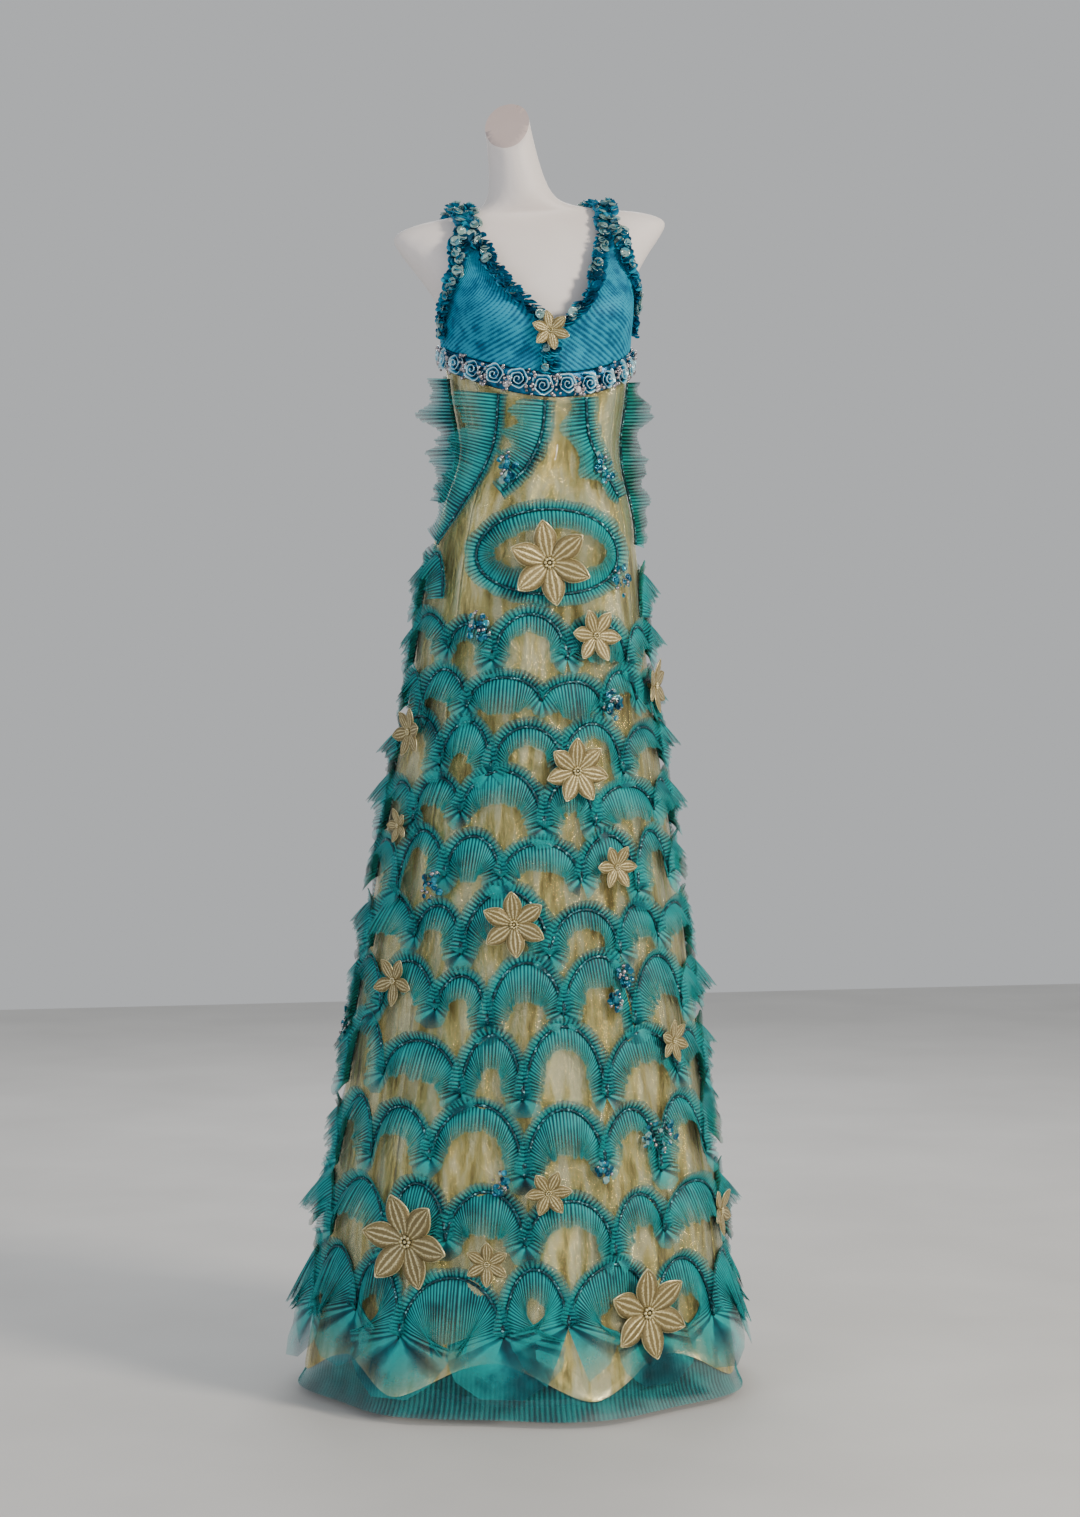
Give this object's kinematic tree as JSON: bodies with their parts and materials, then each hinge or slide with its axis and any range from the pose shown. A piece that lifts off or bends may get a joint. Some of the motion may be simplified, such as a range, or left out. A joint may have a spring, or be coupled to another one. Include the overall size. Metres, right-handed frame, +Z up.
{
  "type": "prom dress on a dress form",
  "caption": "Long empire-line prom dress with ruched bust cups, arched organza frills and sewn-on flowers over a metallic skirt, on a limbless dress form with a round stand.",
  "frame": {"origin": "centre of the stand base's underside, on the floor", "axes": "+Z up the pole towards the neck, -Y towards the front of the dress, +X towards the viewer's right when facing the front"},
  "size_m": [0.5673, 0.5542, 1.5991],
  "materials": {
    "gold_lame": "satin",
    "teal_organza": "sheer",
    "turquoise_cloth": "satin",
    "blue_ribbon": "metallic",
    "beaded_flower": "beaded",
    "form_white": "matte",
    "stand_steel": "brushed"
  },
  "bodies": {
    "root": {"form_torso": "form_white", "stand_pole": "stand_steel", "stand_base": "stand_steel", "skirt_front": "gold_lame", "skirt_right": "gold_lame", "skirt_back": "gold_lame", "skirt_left": "gold_lame", "hem_organza": "teal_organza", "bust_band": "blue_ribbon", "cup_left": "turquoise_cloth", "cup_right": "turquoise_cloth", "bodice_back_left": "turquoise_cloth", "bodice_back_right": "turquoise_cloth", "strap_left": "turquoise_cloth", "strap_right": "turquoise_cloth", "neck_trim_left": "turquoise_cloth", "neck_trim_right": "turquoise_cloth", "armhole_trim_left": "turquoise_cloth", "armhole_trim_right": "turquoise_cloth", "frill_row_back": "teal_organza", "frill_hip_oval": "teal_organza", "flower_neck": "beaded_flower", "frill_row_01": "teal_organza", "frill_row_02": "teal_organza", "frill_row_03": "teal_organza", "frill_row_04": "teal_organza", "frill_row_05": "teal_organza", "frill_row_06": "teal_organza", "frill_row_07": "teal_organza", "frill_row_08": "teal_organza", "frill_row_09": "teal_organza", "frill_row_10": "teal_organza", "frill_row_11": "teal_organza", "midriff_frill_1": "teal_organza", "midriff_frill_2": "teal_organza", "midriff_frill_3": "teal_organza", "midriff_frill_4": "teal_organza", "midriff_frill_5": "teal_organza", "midriff_frill_6": "teal_organza", "midriff_frill_7": "teal_organza", "midriff_frill_8": "teal_organza", "flower_01": "beaded_flower", "flower_02": "beaded_flower", "flower_03": "beaded_flower", "flower_04": "beaded_flower", "flower_05": "beaded_flower", "flower_06": "beaded_flower", "flower_07": "beaded_flower", "flower_08": "beaded_flower", "flower_09": "beaded_flower", "flower_10": "beaded_flower", "flower_11": "beaded_flower", "flower_12": "beaded_flower", "flower_13": "beaded_flower", "flower_14": "beaded_flower", "flower_15": "beaded_flower", "flower_16": "beaded_flower", "flower_17": "beaded_flower", "flower_18": "beaded_flower", "flower_19": "beaded_flower"}
  },
  "joints": []
}
